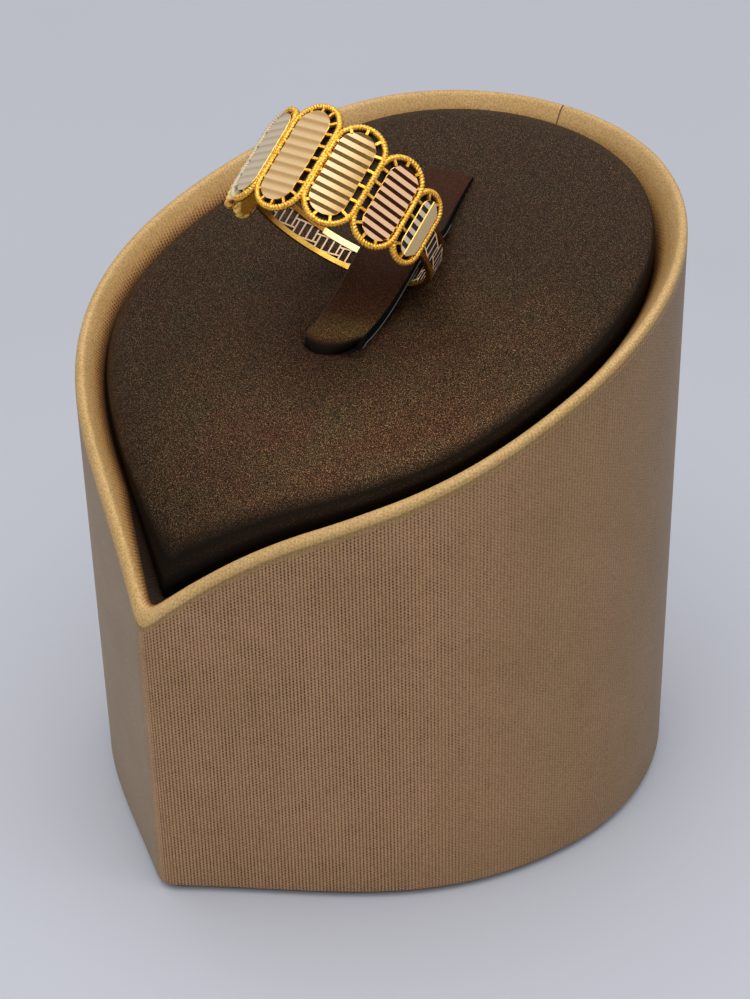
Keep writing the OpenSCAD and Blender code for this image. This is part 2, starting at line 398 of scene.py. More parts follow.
def pad_dent(x, y):
    """How far the cushion's top is pushed in round the strap's low end and along its sides."""
    end_depth, end_spread, in_front, behind = 0.45, 0.6, 0.55, 1.2
    side_depth, side_spread = 0.10, 0.9
    low = Vector((x - strap_x(STRAP_FROM), y - STRAP_FROM))
    across, along = low.dot(toward(STRAP_TURN)), low.dot(toward(STRAP_TURN + 90))
    beyond = max(0, abs(across) - STRAP_W / 2)
    away = (min(0, along + 0.1) / in_front) ** 2 + (max(0, along) / behind) ** 2
    dent = end_depth * math.exp(-(beyond / end_spread) ** 2) * math.exp(-away)
    side = abs(x - strap_x(y)) - STRAP_W / 2
    if STRAP_FROM < y < STRAP_TO:
        dent += side_depth * math.exp(-(side / side_spread) ** 2) * (1 - hump(y))
    return dent


def pad_top(x, y):
    return rim_z((x, y)) - CUSHION_SINK + BACK_RISE * at_back(y) - pad_dent(x, y)


def pad(material):
    edge_steps, roll, middle_steps, middle_step = 12, 2.3, 64, 0.3
    above_pocket, flatter_behind = 0.2, 0.65
    rings = [[(p.x, p.y, rim_z(p) - POCKET_DEPTH + above_pocket) for p in contour(CUSHION_IN)]]
    from_edge = [-1.0]
    for k in range(edge_steps + 1):
        turn = math.radians(90 * k / edge_steps)
        ring = []
        for p in contour(CUSHION_IN + roll * (1 - math.cos(turn))):
            fall = CUSHION_FALL * (1 - flatter_behind * at_back(p.y)) * (1 - math.sin(turn))
            ring.append((p.x, p.y, pad_top(p.x, p.y) - fall))
        rings.append(ring)
        from_edge.append(roll * k / edge_steps)
    inner = contour(CUSHION_IN + roll)
    for k in range(1, middle_steps):
        size = 1 - k / middle_steps
        rings.append([(size * p.x, size * p.y, pad_top(size * p.x, size * p.y)) for p in inner])
        from_edge.append(from_edge[-1] + middle_step)
    # the second UV value says how far in the painted shade of the rolled edge reaches: least at the back and
    # along the left flank, most at the point
    usual, less, more, point_reach, left_share = 1.25, 0.85, 0.7, 24, 0.7
    reach = []
    for p in OUTER:
        left = clamped(-p.x / LEFT_SPAN)
        near_point = max(0, 1 - (p - TIP).length / point_reach)
        reach.append(usual - less * max(at_back(p.y), left) + more * (1 - left_share * left) * near_point)
    n = len(rings)
    uvs = quad_uvs(n, lambda k, i: (from_edge[k], reach[i % COUNT]))
    uvs += [[(-1, 1)] * 3] * COUNT + [[(from_edge[-1], 1)] * 3] * COUNT
    ends = [(0, 0, rim_z((0, 0)) - POCKET_DEPTH + above_pocket), (0, 0, pad_top(0, 0))]
    shape = Shape()
    shape.add(joined(rings) + ends, capped_faces(n), uvs=uvs)
    piece = shape.build("pad", [material], "satin", smooth_below=60)
    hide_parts("cushion")


def rolled(distance, radius):
    """Fall of a rounded end at a distance from it."""
    k = max(0, 1 - distance / radius)
    return radius * (1 - math.sqrt(1 - k * k))


def strap(top, edge, lining, edge_highlight):
    rows, across = 90, 16
    # places across the strap, closer together at both edges
    inset, steps = 0.022, across - 2
    spots = [0, inset] + [inset + (1 - 2 * inset) * j / steps for j in range(1, steps + 1)] + [1]
    spread_left, spread_right, taper = 0.3, 0.95, 0.65
    corner, roll, high_roll, low_dive, high_dive, high_sink = 0.55, 0.95, 0.5, 1.1, 0.4, 0.5
    bow, bend_reach, slew_by, slew_reach = 0.95, 1.5, 0.5, 3
    thinner, above_pad, arch, arch_side, rounding = 0.4, 0.88, 1.35, 0.078, 0.12
    line = 0.05
    side = toward(STRAP_TURN)
    points, count, from_end = [], 0, []
    for k in range(rows + 1):
        # rows lie closer together at both ends, where the strap rolls down
        y = STRAP_FROM + (STRAP_TO - STRAP_FROM) * (0.5 - 0.5 * math.cos(math.pi * k / rows))
        middle = Vector((strap_x(y), y))
        from_low, from_high = y - STRAP_FROM, STRAP_TO - y
        left = -STRAP_W / 2 - spread_left * hump(y) + rolled(from_low, corner) + taper * narrowing(y)
        right = STRAP_W / 2 + spread_right * hump(y) - rolled(from_low, corner)
        dive = (low_dive * rolled(from_low, roll) + high_dive * rolled(from_high, high_roll)
                + high_sink * narrowing(y))
        bend = math.exp(-(from_low / bend_reach) ** 2)
        slew = math.exp(-(from_low / slew_reach) ** 2)
        section = []
        thick = STRAP_T - thinner * hump(y)
        for spot in spots:
            share = 2 * spot - 1
            p = middle + side * (left + (right - left) * spot)
            p.y += bow * bend * (share * share - 0.6) - slew_by * slew * (1 - share)
            lift = (arch + arch_side * (p.x - RING_MID.x) ** 2) * hump(y)
            high = rim_z(p) - CUSHION_SINK + BACK_RISE * at_back(p.y) + above_pad + lift - dive
            section.append((p, high - thick, high - rounding * abs(share) ** 10))
        from_end.append(from_low)
        ring = [(p.x, p.y, high) for p, low, high in section]
        p, low, high = section[-1]
        ring += [(p.x + line, p.y, high - 0.08), (p.x + line, p.y, low + 0.1),
                 (p.x + 2 * line, p.y, low + 0.07), (p.x + 2 * line, p.y, low + 0.02)]
        ring += [(p.x, p.y, low) for p, low, high in reversed(section)]
        p, low, high = section[0]
        ring += [(p.x - line, p.y, low + 0.1), (p.x - line, p.y, high - 0.08)]
        count = len(ring)
        points += ring
    # a painted highlight runs along the top's left edge, and the lining's line along the foot of the right
    # side
    on_top, on_edge, on_lining, on_highlit_edge = range(4)
    one_row = [on_edge] * count
    one_row[:across] = [on_top] * across
    one_row[0] = on_highlit_edge
    one_row[across + 2:across + 4] = [on_lining] * 2
    # the UV gives the distance from the low end, which the strap's painted shade and highlight follow
    uvs = [[(from_end[k + 1], 1)] * 2 + [(from_end[k], 1)] * 2 for k in range(rows) for _ in range(count)]
    ends = [list(range(count)), [rows * count + i for i in reversed(range(count))]]
    shape = Shape()
    shape.add(points, [face[::-1] for face in wall_faces(rows + 1, count)] + ends,
              look=one_row * rows + [on_edge] * 2, uvs=uvs + [[(0, 1)] * count] * 2)
    piece = shape.build("strap", [top, edge, lining, edge_highlight], "satin", smooth_below=50)
    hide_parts("ring_tongue")


def foot_pad(material):
    # set-in and height of each ring
    section = ((0.85, 0.0), (0.7, 0.08), (0.7, 0.4), (1.0, 0.45))
    rings = [[(p.x, p.y, z) for p in contour(set_in)] for set_in, z in section]
    shape = Shape()
    shape.add(joined(rings) + [(0, 0, 0), (0, 0, section[-1][1])], capped_faces(len(rings)))
    piece = shape.build("foot_pad", [material], "pad")
    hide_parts("base_pad")


# Ring. A point on an oval is given across the oval, along it and outward from the finger hole

TO_STAND = (Matrix.Translation(RING_MID)
            @ Matrix.Rotation(math.radians(RING_TURN), 4, "Z")
            @ Matrix.Rotation(math.radians(RING_LEAN), 4, "X")
            @ Matrix.Rotation(math.radians(-RING_ROLL), 4, "Y"))


def on_oval(angle, x, y, z):
    a = math.radians(angle)
    return TO_STAND @ Vector((x * math.cos(a) + (HOLE_R + z) * math.sin(a), y,
                              -x * math.sin(a) + (HOLE_R + z) * math.cos(a)))


def on_shank(angle, y, r):
    a = math.radians(angle)
    return TO_STAND @ Vector((r * math.sin(a), y, r * math.cos(a)))


def stadium_at(half_l, half_w, s):
    """Point and outward direction at a share s of the way round a stadium."""
    straight = 2 * (half_l - half_w)
    d = (2 * s % 1) * (straight + math.pi * half_w)
    # the second half is the first one turned round
    turned = 1 if s % 1 < 0.5 else -1
    a = max(0, d - straight) / half_w
    nx, ny = turned * math.cos(a), turned * math.sin(a)
    along = turned * (min(d, straight) - straight / 2)
    return (half_w * nx, along + half_w * ny), (nx, ny)


def half_sizes(oval, less):
    """Half length and half width of an oval, each less by the same amount."""
    return oval["half_l"] - less, oval["half_w"] - less


def numbered(*names):
    """Number of each material on a piece."""
    return {name: i for i, name in enumerate(names)}


BORDER_LOOKS = numbered("beaded", "black", "pale", "sunny")
PLATE_LOOKS = numbered("gold", "lit_cream", "shaded_olive", "lit_rose", "shaded_umber", "soft", "plain", "silver", "black", "pale")
SHANK_LOOKS = numbered("gold", "white", "shaded_amber", "black", "painted_highlight")
# the bright and the dark facets of each make of plate; their colours are painted reflection on one gold,
# light on the bright facets, dark on the steep ones and pale all over the far side, with black as painted
# shade
FACETS = {
    "soft": ("soft", "soft"),
    "lit_cream": ("lit_cream", "shaded_olive"),
    "lit_rose": ("lit_rose", "shaded_umber"),
    "half": ("silver", "black"),
    "far": ("pale", "pale"),
}


def is_coarse(angle):
    """Whether an oval is one of the two last on the left side."""
    return angle < COARSE_BELOW


def on_painted_glint(angle, nx):
    """Whether a spot that faces nx is on the outer side of the first oval on the left, painted pale and
    silvery as a glint.
    """
    return COARSE_BELOW < angle < 0 and nx < -0.2


def beaded_border(shape, oval, side, chance):
    """Rope of slanted beads round an oval, coarser on the two last ovals of the left side."""
    angle = side * oval["angle"]
    coarse = is_coarse(angle)
    half_l, half_w = half_sizes(oval, BORDER_W / 2)
    pitch = 2.2 * BEAD_PITCH if coarse else BEAD_PITCH
    bulge = 0.12 if coarse else 0.085
    core, height_share, crispness, above = 0.2, 1.25, 0.6, 0.06
    beads = round((4 * (half_l - half_w) + 2 * math.pi * half_w) / pitch)
    per_bead, around = 5, 12
    sections = beads * per_bead
    sizes = [0.88 + 0.2 * chance.random() for _ in range(2 * beads)]
    points, looks = [], []
    for k in range(sections):
        (x, y), (nx, ny) = stadium_at(half_l, half_w, k / sections)
        # a painted glint makes the outer side of the first oval on the left pale
        look = "sunny" if coarse else "pale" if on_painted_glint(angle, nx) else "beaded"
        looks += [BORDER_LOOKS[look]] * around
        for j in range(around):
            turn = 2 * math.pi * j / around
            phase = turn / math.pi + k / per_bead
            swell = abs(math.cos(math.pi * (phase - math.floor(phase)) - math.pi / 2)) ** crispness
            r = core + bulge * swell * sizes[int(phase) % beads]
            out, up = r * math.cos(turn), height_share * r * math.sin(turn)
            points.append(on_oval(angle, x + out * nx, y + out * ny, BORDER_H / 2 + above + up))
    total = sections * around
    rise = [math.sin(2 * math.pi * j / around) for j in range(around)]
    faces = [[i % total for i in face[::-1]] for face in wall_faces(sections + 1, around)]
    shape.add(points, faces, look=looks, uvs=[[(rise[i % around], 0) for i in face] for face in faces])


def skirt(shape, oval, angle):
    """Thin wall under a border and a thin bed that closes it, both painted dark as shade on the side towards
    the plate.
    """
    half_l, half_w = half_sizes(oval, BORDER_W / 2)
    sections, half_wall, top, gold_bed, dark_bed = 96, 0.12, 0.3, 0.02, 0.07
    section = ((half_wall, 0.0), (half_wall, top), (-half_wall, top), (-half_wall, 0.0))
    points = []
    for k in range(sections):
        (x, y), (nx, ny) = stadium_at(half_l, half_w, k / sections)
        points += [on_oval(angle, x + out * nx, y + out * ny, z) for out, z in section]
    total = len(points)
    faces = [[i % total for i in face[::-1]] for face in wall_faces(sections + 1, 4)]
    gold, black = BORDER_LOOKS["beaded"], BORDER_LOOKS["black"]
    outer = BORDER_LOOKS["sunny"] if is_coarse(angle) else gold
    shape.add(points, faces, look=[outer, outer, black, outer] * sections,
              uvs=[[(-0.3, 0)] * 4] * len(faces))
    for z, look in ((gold_bed, gold), (dark_bed, black)):
        layer = [on_oval(angle, *stadium_at(half_l, half_w, k / sections)[0], z) for k in range(sections)]
        face = list(range(sections))
        shape.add(layer, [face if look == black else face[::-1]], look=look, uvs=[[(0.3, 0)] * sections])


def block(shape, corners, look):
    """Solid from its four low corners and its four high ones."""
    faces = [[3, 2, 1, 0], [4, 5, 6, 7], [0, 1, 5, 4], [1, 2, 6, 5], [2, 3, 7, 6], [3, 0, 4, 7]]
    # the first UV value is -1 at the low corners and 1 at the high ones, for the painted shade of the beaded
    # gold
    shape.add(corners, faces, look, uvs=[[(-1 if i < 4 else 1, 0) for i in face] for face in faces])


def bars(shape, oval, side):
    """Short bars from an oval's border to its plate."""
    angle = side * oval["angle"]
    half_l, half_w = half_sizes(oval, BORDER_W)
    into_border, into_plate, half_bar, low, high = 0.14, 0.06, 0.13, 0.2, 0.6
    for k in range(oval["gaps"]):
        (x, y), (nx, ny) = stadium_at(half_l, half_w, (k + 0.5) / oval["gaps"])
        gap = oval["far"] if side * nx > 0 else oval["near"]
        reach = BORDER_GAP + (gap - BORDER_GAP) * nx * nx + into_plate
        corners = []
        for z, narrow in ((low, 1.0), (high, 0.85)):
            for out, along in ((-reach, -1), (into_border, -1), (into_border, 1), (-reach, 1)):
                dx = out * nx - along * narrow * half_bar * ny
                dy = out * ny + along * narrow * half_bar * nx
                corners.append(on_oval(angle, x + dx, y + dy, z))
        block(shape, corners, look=int(on_painted_glint(angle, nx)))


def plate_strip(shape, angle, left, right, height, stops, looks):
    """Part of a plate between two edges, given as functions of the place along the oval."""
    rim, low, steps = 0.05, 0.05, 4
    rows, row_looks, places = [], [], []
    for i, look in enumerate(looks):
        y0, y1 = stops[i], stops[i + 1]
        for k in range(steps + 1):
            share = k / steps
            y = y0 + (y1 - y0) * share
            h = height(y0, y1, share)
            a, b = left(y), right(y)
            rows.append([(a, y, low), (a, y, h - rim), (a + rim, y, h),
                         (b - rim, y, h), (b, y, h - rim), (b, y, low)])
            row_looks.append(look)
            places.append(BRIGHT_SHARE * share if i % 2 == 0 else BRIGHT_SHARE + (1 - BRIGHT_SHARE) * share)
    widest = max(abs(row[2][0]) for row in rows)
    faces, face_looks, uvs = [], [], []
    for k in range(len(rows) - 1):
        for j in range(6):
            a, b = 6 * k + j, 6 * k + (j + 1) % 6
            faces.append([a, b, b + 6, a + 6])
            # the UV gives the place across the plate and the share of the way through a flute, for the
            # painted reflection
            uvs.append([(rows[i // 6][i % 6][0] / widest, places[i // 6]) for i in faces[-1]])
            if j == 2:
                face_looks.append(row_looks[k])
            else:
                # the plate's side walls, and its end caps below, are painted black as shade
                face_looks.append(PLATE_LOOKS["black" if j in (0, 4) else "gold"])
    faces += [[5, 4, 3, 2, 1, 0], [6 * (len(rows) - 1) + j for j in range(6)]]
    face_looks += [PLATE_LOOKS["black"]] * 2
    uvs += [[(0, 0)] * 6] * 2
    shape.add([on_oval(angle, *p) for row in rows for p in row], faces, look=face_looks, uvs=uvs)


def plate(shape, oval, side):
    """Fluted plate of an oval: gentle bright facets and steep dark ones, across the oval; their light and
    dark are painted reflection.
    """
    margin, left_depth = 0.03, 0.15
    half_l = oval["half_l"] - BORDER_W - BORDER_GAP
    half_w = oval["half_w"] - BORDER_W - (oval["near"] + oval["far"]) / 2
    middle = side * (oval["near"] - oval["far"]) / 2
    angle = side * oval["angle"]
    end = half_l - margin
    pitch = 2 * end / oval["flutes"]
    look = oval["look"] if side > 0 else "far"
    bright_share = 0.5 if look == "half" else BRIGHT_SHARE
    depth = oval["depth"] * (1 if side > 0 else left_depth)
    stops = [-end]
    for i in range(oval["flutes"]):
        stops += [-end + (i + bright_share) * pitch, -end + (i + 1) * pitch]
    looks = [PLATE_LOOKS[name] for name in FACETS[look]] * oval["flutes"]

    def half_at(y):
        past = max(0, abs(y) - (half_l - half_w))
        return math.sqrt(max(1e-4, half_w ** 2 - past ** 2))

    def left_edge(y):
        return middle - half_at(y)

    def right_edge(y):
        return middle + half_at(y)

    def fluted(y0, y1, t):
        is_bright = abs((y1 - y0) - bright_share * pitch) < 1e-6
        return PLATE_H - depth * (t if is_bright else 1 - t)

    def flat(*_):
        return PLATE_H

    def split(y):
        return middle + max(-0.12, -0.95 * half_at(y))

    if look == "half":
        # the outermost plate is flat, with black stripes of painted shade on the half towards the middle oval
        plate_strip(shape, angle, left_edge, split, flat, stops, looks)
        plate_strip(shape, angle, split, right_edge, flat, [-end, 0, end], [PLATE_LOOKS["plain"]] * 2)
    else:
        plate_strip(shape, angle, left_edge, right_edge, fluted, stops, looks)


def shank_half(angle):
    """Half width of the shank, least at its lowest place, 180 degrees from the middle oval."""
    share = abs(angle - 180) / (SHANK_TO - 180)
    return SHANK_HALF_MIN + (SHANK_HALF_MAX - SHANK_HALF_MIN) * share ** 1.6


def curved_bar(shape, from_angle, to_angle, low_y, high_y, inner, outer, look=0, bevel=0.01,
               side_look=None):
    """Bar that follows the shank; low_y and high_y are functions of the angle."""
    steps = max(1, math.ceil(abs(to_angle - from_angle) / 3))
    points = []
    for k in range(steps + 1):
        a = from_angle + (to_angle - from_angle) * k / steps
        y0, y1 = low_y(a), high_y(a)
        points += [on_shank(a, y0, inner), on_shank(a, y0, outer - bevel), on_shank(a, y0 + bevel, outer),
                   on_shank(a, y1 - bevel, outer), on_shank(a, y1, outer - bevel), on_shank(a, y1, inner)]
    faces = wall_faces(steps + 1, 6) + [[5, 4, 3, 2, 1, 0], [6 * steps + j for j in range(6)]]
    sides = look if side_look is None else side_look
    looks = [sides if j in (0, 4) else look for _ in range(steps) for j in range(6)] + [sides, sides]
    shape.add(points, faces, looks)


def shank(shape):
    """Two solid edges, and between them slanted ladders of thin bars, each a step behind the last."""
    outer, rail_w, wide_rail_w, line_w, rail_bevel = HOLE_R + SHANK_T, 0.46, 0.58, 0.15, 0.07
    pitch, rungs, pause = 4.3, 3, 2.6
    front_from, back_from, slant = -0.35, 0.97, 0.62
    inner_r, outer_r = HOLE_R + 0.12, outer - 0.05
    half_turn = math.degrees(line_w / 2 / outer)
    _, white, shaded_amber, black, painted_highlight = SHANK_LOOKS.values()
    curved_bar(shape, SHANK_FROM, SHANK_TO, lambda a: -shank_half(a), lambda a: -shank_half(a) + rail_w,
               HOLE_R, outer, bevel=rail_bevel, side_look=shaded_amber)
    # one stretch of the back edge is wider and carries a painted highlight; the rest of it, and the sides of
    # the front edge, are painted in a shaded amber
    for start, end, look in ((SHANK_FROM, 180, shaded_amber), (180, 225, painted_highlight), (225, SHANK_TO, shaded_amber)):
        width = wide_rail_w if look == painted_highlight else rail_w
        curved_bar(shape, start, end, lambda a: shank_half(a) - width, shank_half, HOLE_R, outer,
                   look=look, bevel=rail_bevel)
    group = rungs * pitch + pause
    for g in range(int((SHANK_TO - SHANK_FROM) / group)):
        start = SHANK_FROM + 1 + g * group
        end = start + rungs * pitch

        def front(a):
            reach = shank_half(a) - rail_w / 2
            return reach * (front_from - slant * max(0, (a - start + pause) / (end - start + pause)))

        def back(a):
            reach = shank_half(a) - rail_w / 2
            return reach * (back_from - slant * (a - start) / (end - start + pause))

        # the sides of these thin bars and of the rungs are painted black as shade
        def line(edge, from_angle, to_angle):
            curved_bar(shape, from_angle, to_angle, lambda a: edge(a) - line_w / 2,
                       lambda a: edge(a) + line_w / 2, inner_r, outer_r, look=white, side_look=black)

        line(front, start - pause, end)
        line(back, start, end + pause)
        for r in range(rungs + 1):
            a = start + r * pitch
            curved_bar(shape, a - half_turn, a + half_turn, front, back, inner_r, outer_r, look=white,
                       side_look=black)


def ring(metals):
    def pick(*names):
        return [metals[name] for name in names]

    chance = random.Random(SEED)
    borders, links, plates, hoop = Shape(), Shape(), Shape(), Shape()
    for oval in OVALS:
        for side in (1, -1) if oval["angle"] else (1,):
            beaded_border(borders, oval, side, chance)
            skirt(borders, oval, side * oval["angle"])
            bars(links, oval, side)
            plate(plates, oval, side)
    shank(hoop)
    piece = borders.build("ring_borders", pick(*BORDER_LOOKS), "gold", smooth_below=70)
    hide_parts("gold_ring")
    links.build("ring_bars", pick("beaded", "pale"), "gold")
    plates.build("ring_plates", pick(*PLATE_LOOKS), "gold", smooth_below=12)
    hoop.build("ring_shank", pick(*SHANK_LOOKS), "gold")


# Materials

def fill_ramp(ramp, stops):
    """Give a colour ramp its stops, a place and a colour each."""
    while len(ramp.elements) < len(stops):
        ramp.elements.new(0.5)
    for element, (at, colour) in zip(ramp.elements, stops):
        element.position = at
        element.color = (*colour, 1)


class Shader:
    """A material whose nodes are added one by one in front of its Principled shader."""

    def __init__(self, name, **constants):
        self.material = bpy.data.materials.new(name)
        self.material.use_nodes = True
        self.tree = self.material.node_tree
        self.principled = self.tree.nodes["Principled BSDF"]
        for socket, value in constants.items():
            self.principled.inputs[socket.replace("_", " ")].default_value = value

    def put(self, target, value):
        if isinstance(value, bpy.types.NodeSocket):
            self.tree.links.new(value, target)
        else:
            target.default_value = value

    def set(self, socket, value):
        self.put(self.principled.inputs[socket], value)

    def math(self, operation, *values):
        node = self.tree.nodes.new("ShaderNodeMath")
        node.operation = operation
        for target, value in zip(node.inputs, values):
            self.put(target, value)
        return node.outputs[0]

    def scaled(self, value, by, plus):
        return self.math("MULTIPLY_ADD", value, by, plus)

    def uv(self):
        node = self.tree.nodes.new("ShaderNodeUVMap")
        node.uv_map = "UVMap"
        split = self.tree.nodes.new("ShaderNodeSeparateXYZ")
        self.put(split.inputs[0], node.outputs[0])
        return split.outputs[0], split.outputs[1]

    def place(self):
        return self.tree.nodes.new("ShaderNodeTexCoord").outputs["Object"]

    def stretched(self, scale):
        node = self.tree.nodes.new("ShaderNodeMapping")
        self.put(node.inputs["Vector"], self.place())
        node.inputs["Scale"].default_value = scale
        return node.outputs[0]

    def distance_from(self, x, y, z):
        """Distance in millimetres from a point of the stand."""
        node = self.tree.nodes.new("ShaderNodeVectorMath")
        node.operation = "DISTANCE"
        self.put(node.inputs[0], self.place())
        node.inputs[1].default_value = (MM * x, MM * y, MM * z)
        return self.math("MULTIPLY", node.outputs["Value"], 1 / MM)

    def noise(self, size_mm, detail, roughness=0.5, vector=None):
        node = self.tree.nodes.new("ShaderNodeTexNoise")
        self.put(node.inputs["Vector"], vector or self.place())
        node.inputs["Scale"].default_value = 1 / (MM * size_mm)
        node.inputs["Detail"].default_value = detail
        node.inputs["Roughness"].default_value = roughness
        return node.outputs[0]

    def cells(self, size_mm):
        node = self.tree.nodes.new("ShaderNodeTexVoronoi")
        self.put(node.inputs["Vector"], self.place())
        node.inputs["Scale"].default_value = 1 / (MM * size_mm)
        return node.outputs["Distance"]

    def ramp(self, value, *stops):
        node = self.tree.nodes.new("ShaderNodeValToRGB")
        self.put(node.inputs[0], value)
        fill_ramp(node.color_ramp, stops)
        return node.outputs[0]

    def mix(self, share, a, b, blend="MIX"):
        node = self.tree.nodes.new("ShaderNodeMix")
        node.data_type = "RGBA"
        node.blend_type = blend
        colours = [s for s in node.inputs if s.type == "RGBA"]
        self.put(node.inputs[0], share)
        for target, value in zip(colours, (a, b)):
            self.put(target, (*value, 1) if isinstance(value, tuple) else value)
        return next(s for s in node.outputs if s.type == "RGBA")

    def multiply(self, a, b):
        return self.mix(1.0, a, b, "MULTIPLY")

    def bump(self, height, distance_mm, strength):
        node = self.tree.nodes.new("ShaderNodeBump")
        node.inputs["Distance"].default_value = MM * distance_mm
        node.inputs["Strength"].default_value = strength
        self.put(node.inputs["Height"], height)
        self.set("Normal", node.outputs[0])


def rgb(red, green, blue):
    """Linear colour from the usual 0 to 255 values."""
    def linear(c):
        return c / 255 / 12.92 if c <= 10 else ((c / 255 + 0.055) / 1.055) ** 2.4

    return tuple(linear(c) for c in (red, green, blue))


WHITE = rgb(255, 255, 255)


def ribbed_cover(name, painted_shading, clearness, light, dark, rough):
    """Pearly leatherette with fine upright ribs and rows of pin holes between them.

    The table of painted light and shade, and clearness, each give a direction, round the stand or up, and
    stops along it in millimetres: for what the colour is multiplied by, and for how clear the ribs are.
    """
    shader = Shader(name, Metallic=0.2, Specular_IOR_Level=0.3)
    u, v = shader.uv()
    rib_pitch, dot_pitch, faintest = 0.31, 0.32, 0.7
    across = shader.math("DIVIDE", u, rib_pitch)
    crest = shader.math("ABSOLUTE", shader.math("SINE", shader.math("MULTIPLY", across, math.pi)))
    groove = shader.math("POWER", shader.math("SUBTRACT", 1.0, crest), 1.3)
    row = shader.math("FLOOR", shader.math("ADD", across, 0.5))
    shifted = shader.math("ADD", shader.math("DIVIDE", v, dot_pitch), shader.math("MULTIPLY", row, 0.5))
    wave = shader.math("SINE", shader.math("MULTIPLY", shifted, 2 * math.pi))
    dots = shader.scaled(wave, 0.5, 0.5)
    patchy = shader.noise(1.6, 2.0)
    clear = shader.scaled(patchy, 3.0, -0.9)
    shown = shader.math("MINIMUM", shader.math("MAXIMUM", clear, faintest), 1.0)

    def along(direction, stops):
        length = stops[-1][0]
        way = shader.math("DIVIDE", u if direction == "round" else v, length)
        return shader.ramp(way, *[(at / length, value) for at, value in stops])

    open_holes = shader.scaled(shader.math("MULTIPLY", dots, shown), 1.7, 0.25)
    holes = shader.math("MULTIPLY", shader.math("MULTIPLY", groove, open_holes), along(*clearness))
    cloud = shader.noise(7.0, 3.0, 0.6)
    base = shader.mix(shader.scaled(cloud, 2.4, -0.7), light[0], light[1])
    speckle = shader.ramp(shader.noise(0.16, 1.0), (0.36, rgb(222, 220, 216)), (0.6, WHITE))
    base = shader.multiply(shader.multiply(base, along(*painted_shading)), speckle)
    shader.set("Base Color", shader.mix(holes, base, shader.multiply(base, dark)))
    fine = shader.noise(0.09, 2.0)
    relief = shader.math("SUBTRACT", shader.math("MULTIPLY", fine, 0.3), holes)
    shader.bump(relief, 0.035, 0.8)
    shader.set("Roughness", shader.scaled(fine, 0.12, rough))
    return shader.material


def satin(name, flecks, shade_stops, ring_shadow=False):
    """Dark pearly leatherette, finely grained, with a painted sheen that makes it a little lighter in front
    of the strap.

    shade_stops paint shade and highlights by the share of the way into its edge zone; the last argument
    paints a shadow where the ring stands.
    """
    shader = Shader(name, Metallic=0.3, Specular_IOR_Level=0.15, Specular_Tint=(1.0, 0.75, 0.55, 1))
    # painted sheen: the colour is painted lighter round a spot in front of the strap
    sheen_at, sheen_reach = (9, -13, 48), 26.0
    # painted shadow: the colour is painted darker round the foot of the ring
    shadow_at, shadow_reach = (-0.5, -4, 50.5), 11.0
    grain = shader.noise(0.075, 2.0, 0.6)
    colour = shader.ramp(grain, *flecks)
    hue = shader.noise(4.0, 3.0, 0.65)
    tint = shader.ramp(hue, (0.3, rgb(255, 222, 208)), (0.5, rgb(255, 240, 220)),
                       (0.7, rgb(240, 244, 218)))
    # painted sheen that fades with the distance from its spot, mixed with a tone that varies at random
    from_sheen = shader.math("DIVIDE", shader.distance_from(*sheen_at), sheen_reach)
    painted_light_and_tone = shader.ramp(shader.scaled(shader.noise(9.0, 2.0), 0.3, from_sheen),
                       (0.2, WHITE), (0.6, rgb(222, 222, 222)), (0.85, rgb(192, 194, 192)),
                       (1.0, rgb(168, 174, 176)))
    # painted shadow round the foot of the ring
    if ring_shadow:
        foot = shader.math("DIVIDE", shader.distance_from(*shadow_at), shadow_reach)
        painted_light_and_tone = shader.multiply(painted_light_and_tone, shader.ramp(foot, (0.3, rgb(196, 188, 184)), (1.0, WHITE)))
    distance, reach = shader.uv()
    share = shader.math("DIVIDE", distance, shader.math("MAXIMUM", reach, 0.01))
    furthest = shade_stops[-1][0]
    shade = shader.ramp(shader.math("DIVIDE", share, furthest),
                        *[(at / furthest, tone) for at, tone in shade_stops])
    shader.set("Base Color", shader.multiply(shader.multiply(shader.multiply(colour, tint), painted_light_and_tone), shade))
    shader.set("Roughness", shader.scaled(grain, 0.3, 0.34))
    shader.bump(grain, 0.03, 0.7)
    return shader.material


def plain_finish(name, colour, other, size_mm=0.2, bump_mm=0.02, **constants):
    """Finish that varies a little between two colours, with fine relief."""
    shader = Shader(name, **constants)
    grain = shader.noise(size_mm, 3.0, 0.6)
    shader.set("Base Color", shader.mix(grain, rgb(*colour), rgb(*other)))
    shader.bump(grain, bump_mm, 0.6)
    return shader.material


